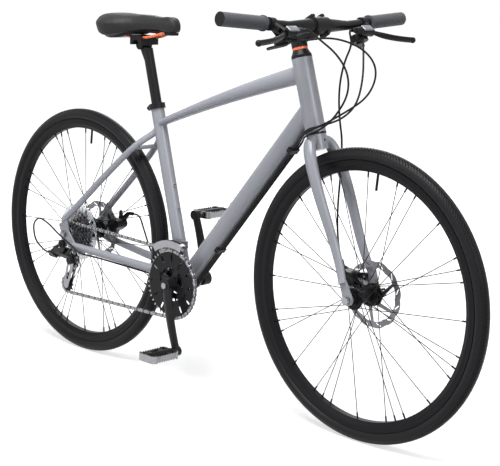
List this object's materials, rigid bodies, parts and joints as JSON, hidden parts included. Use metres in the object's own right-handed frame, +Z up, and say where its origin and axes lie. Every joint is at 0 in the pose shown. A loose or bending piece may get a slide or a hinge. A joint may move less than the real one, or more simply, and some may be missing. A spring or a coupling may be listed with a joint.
{
  "type": "hybrid bicycle",
  "caption": "Flat-bar hybrid bicycle with an arched grey alloy frame, slim tyres, disc brakes, triple crankset, derailleur gears and an adjustable saddle.",
  "frame": {"origin": "on the ground, midway between the two wheels, in the bike's middle plane", "axes": "+X forward, +Y to the rider's left, +Z up"},
  "size_m": [1.704, 0.6244, 0.9834],
  "materials": {
    "frame_paint": "satin metallic grey paint on alloy tube",
    "black_alloy": "satin black anodised",
    "tyre_rubber": "matt rubber with a fine tread",
    "rim_black": "satin black",
    "spoke_black": "black coated steel",
    "dark_alloy": "satin black",
    "steel": "bright steel",
    "steel_dark": "black steel with bright teeth",
    "pedal_steel": "bright cage on a black barrel",
    "black_plastic": "matt black",
    "grip_rubber": "matt rubber",
    "saddle_skin": "matt black cover over foam",
    "rail_orange": "orange coated rails under a black base"
  },
  "bodies": {
    "frame": {"head_tube": "frame_paint", "top_tube": "frame_paint", "down_tube": "frame_paint", "seat_tube": "frame_paint", "bottom_bracket_shell": "frame_paint", "chainstays": "frame_paint", "seatstays": "frame_paint", "rear_dropouts": "frame_paint", "frame_bearings": "steel", "seat_clamp": "black_alloy", "rear_axle": "steel", "rear_brake_caliper": "dark_alloy", "front_derailleur_body": "steel", "chain": "steel", "frame_cables": "black_plastic", "rear_derailleur_mount": "dark_alloy"},
    "steering": {"fork": "frame_paint", "headset_spacers": "black_alloy", "stem": "black_alloy", "stem_faceplate": "black_alloy", "handlebar": "black_alloy", "grips": "grip_rubber", "lever_bodies": "black_plastic", "front_brake_caliper": "dark_alloy", "steering_cables": "black_plastic", "front_axle": "steel"},
    "front_wheel": {"front_tyre": "tyre_rubber", "front_rim": "rim_black", "front_spokes": "spoke_black", "front_hub": "dark_alloy", "front_rotor": "steel"},
    "rear_wheel": {"rear_tyre": "tyre_rubber", "rear_rim": "rim_black", "rear_spokes": "spoke_black", "rear_hub": "dark_alloy", "rear_rotor": "steel"},
    "cassette": {"cassette": "steel"},
    "crankset": {"crank_spindle": "steel", "crank_arms": "black_alloy", "chainrings": "steel_dark"},
    "right_pedal": {"right_pedal": "pedal_steel"},
    "left_pedal": {"left_pedal": "pedal_steel"},
    "seatpost": {"seatpost": "black_alloy"},
    "saddle": {"saddle_cover": "saddle_skin", "saddle_rails": "rail_orange"},
    "right_brake_lever": {"right_brake_lever": "dark_alloy"},
    "left_brake_lever": {"left_brake_lever": "dark_alloy"},
    "right_shift_lever": {"right_shift_lever": "black_plastic"},
    "left_shift_lever": {"left_shift_lever": "black_plastic"},
    "front_brake_arm": {"front_brake_arm": "dark_alloy"},
    "rear_brake_arm": {"rear_brake_arm": "dark_alloy"},
    "derailleur_outer_link": {"derailleur_outer_link": "dark_alloy"},
    "derailleur_inner_link": {"derailleur_inner_link": "dark_alloy"},
    "derailleur_knuckle": {"derailleur_knuckle": "dark_alloy"},
    "derailleur_cage": {"derailleur_cage": "steel"},
    "guide_pulley": {"guide_pulley": "black_plastic"},
    "tension_pulley": {"tension_pulley": "black_plastic"},
    "front_derailleur_cage": {"front_derailleur_cage": "steel"},
    "front_skewer_lever": {"front_skewer_lever": "dark_alloy"},
    "rear_skewer_lever": {"rear_skewer_lever": "dark_alloy"}
  },
  "joints": [
    {"name": "steering_turn", "type": "hinge", "parent": "frame", "child": "steering", "pos_m": [0.34624, 0, 0.7055], "axis": [-0.2924, 0, 0.9563], "range_deg": [-70, 70], "deforming": ["steering_cables"]},
    {"name": "front_wheel_spin", "type": "hinge", "parent": "steering", "child": "front_wheel", "pos_m": [0.508, 0, 0.344], "axis": [0, 1, 0], "continuous": true},
    {"name": "rear_wheel_spin", "type": "hinge", "parent": "frame", "child": "rear_wheel", "pos_m": [-0.508, 0, 0.344], "axis": [0, 1, 0], "continuous": true},
    {"name": "crank_spin", "type": "hinge", "parent": "frame", "child": "crankset", "pos_m": [-0.08711, 0, 0.272], "axis": [0, 1, 0], "continuous": true, "deforming": ["chain"]},
    {"name": "cassette_spin", "type": "hinge", "parent": "frame", "child": "cassette", "pos_m": [-0.508, 0, 0.344], "axis": [0, 1, 0], "continuous": true, "deforming": ["chain"]},
    {"name": "right_pedal_spin", "type": "hinge", "parent": "crankset", "child": "right_pedal", "pos_m": [-0.02758, -0.15, 0.11277], "axis": [0, 1, 0], "continuous": true},
    {"name": "left_pedal_spin", "type": "hinge", "parent": "crankset", "child": "left_pedal", "pos_m": [-0.14665, 0.15, 0.43123], "axis": [0, 1, 0], "continuous": true},
    {"name": "seatpost_height", "type": "slide", "parent": "frame", "child": "seatpost", "axis": [-0.2639, 0, 0.9646], "range_m": [-0.11, 0.085]},
    {"name": "saddle_tilt", "type": "hinge", "parent": "seatpost", "child": "saddle", "pos_m": [-0.26483, 0, 0.87774], "axis": [0, 1, 0], "range_deg": [-12, 12]},
    {"name": "right_brake_pull", "type": "hinge", "parent": "steering", "child": "right_brake_lever", "pos_m": [0.37638, -0.15, 0.93831], "axis": [-0.5446, 0, -0.8387], "range_deg": [0, 22], "stiffness_Nm_per_rad": 2},
    {"name": "left_brake_pull", "type": "hinge", "parent": "steering", "child": "left_brake_lever", "pos_m": [0.37638, 0.15, 0.93831], "axis": [0.5446, 0, 0.8387], "range_deg": [0, 22], "stiffness_Nm_per_rad": 2},
    {"name": "rear_brake_arm_turn", "type": "hinge", "parent": "frame", "child": "rear_brake_arm", "pos_m": [-0.43886, 0.0728, 0.36514], "axis": [0, 1, 0], "range_deg": [0, 22]},
    {"name": "front_brake_arm_turn", "type": "hinge", "parent": "steering", "child": "front_brake_arm", "pos_m": [0.4405, 0.0598, 0.36991], "axis": [0, 1, 0], "range_deg": [0, 22]},
    {"name": "right_shift_push", "type": "hinge", "parent": "steering", "child": "right_shift_lever", "pos_m": [0.35438, -0.132, 0.92131], "axis": [-0.4226, 0, 0.9063], "range_deg": [0, 30], "stiffness_Nm_per_rad": 0.6},
    {"name": "left_shift_push", "type": "hinge", "parent": "steering", "child": "left_shift_lever", "pos_m": [0.35438, 0.132, 0.92131], "axis": [0.4226, 0, -0.9063], "range_deg": [0, 30], "stiffness_Nm_per_rad": 0.6},
    {"name": "derailleur_swing", "type": "hinge", "parent": "frame", "child": "derailleur_outer_link", "pos_m": [-0.54567, -0.08145, 0.29002], "axis": [0, 0.682, 0.7314], "range_deg": [-15, 37], "deforming": ["chain"]},
    {"name": "derailleur_inner_swing", "type": "hinge", "parent": "frame", "child": "derailleur_inner_link", "pos_m": [-0.54274, -0.07218, 0.28138], "axis": [0, 0.682, 0.7314], "range_deg": [-15, 37], "deforming": ["chain"]},
    {"name": "derailleur_knuckle_turn", "type": "hinge", "parent": "derailleur_outer_link", "child": "derailleur_knuckle", "pos_m": [-0.495, -0.09, 0.298], "axis": [0, 0.682, 0.7314], "range_deg": [-37, 15], "deforming": ["chain"]},
    {"name": "derailleur_cage_swing", "type": "hinge", "parent": "derailleur_knuckle", "child": "derailleur_cage", "pos_m": [-0.49, -0.066, 0.27], "axis": [0, 1, 0], "range_deg": [-20, 20], "stiffness_Nm_per_rad": 1.5, "deforming": ["chain"]},
    {"name": "guide_pulley_spin", "type": "hinge", "parent": "derailleur_cage", "child": "guide_pulley", "pos_m": [-0.49913, -0.0514, 0.26741], "axis": [0, 1, 0], "continuous": true, "deforming": ["chain"]},
    {"name": "tension_pulley_spin", "type": "hinge", "parent": "derailleur_cage", "child": "tension_pulley", "pos_m": [-0.52149, -0.0514, 0.19436], "axis": [0, 1, 0], "continuous": true, "deforming": ["chain"]},
    {"name": "front_derailleur_shift", "type": "slide", "parent": "frame", "child": "front_derailleur_cage", "axis": [0, 1, 0], "range_m": [0, 0.0145], "deforming": ["chain"]},
    {"name": "front_skewer_flip", "type": "hinge", "parent": "steering", "child": "front_skewer_lever", "pos_m": [0.508, 0.0711, 0.344], "axis": [0.2588, 0, -0.9659], "range_deg": [0, 180]},
    {"name": "rear_skewer_flip", "type": "hinge", "parent": "frame", "child": "rear_skewer_lever", "pos_m": [-0.508, 0.0886, 0.344], "axis": [-0.9848, 0, -0.1736], "range_deg": [0, 180]}
  ],
  "couplings": [
    {"joint": "cassette_spin", "follows": "crank_spin", "ratio": 2.9333},
    {"joint": "guide_pulley_spin", "follows": "crank_spin", "ratio": -4},
    {"joint": "tension_pulley_spin", "follows": "crank_spin", "ratio": 4},
    {"joint": "rear_brake_arm_turn", "follows": "right_brake_pull", "ratio": 1},
    {"joint": "front_brake_arm_turn", "follows": "left_brake_pull", "ratio": 1},
    {"joint": "derailleur_inner_swing", "follows": "derailleur_swing", "ratio": 1},
    {"joint": "derailleur_knuckle_turn", "follows": "derailleur_swing", "ratio": -1}
  ]
}
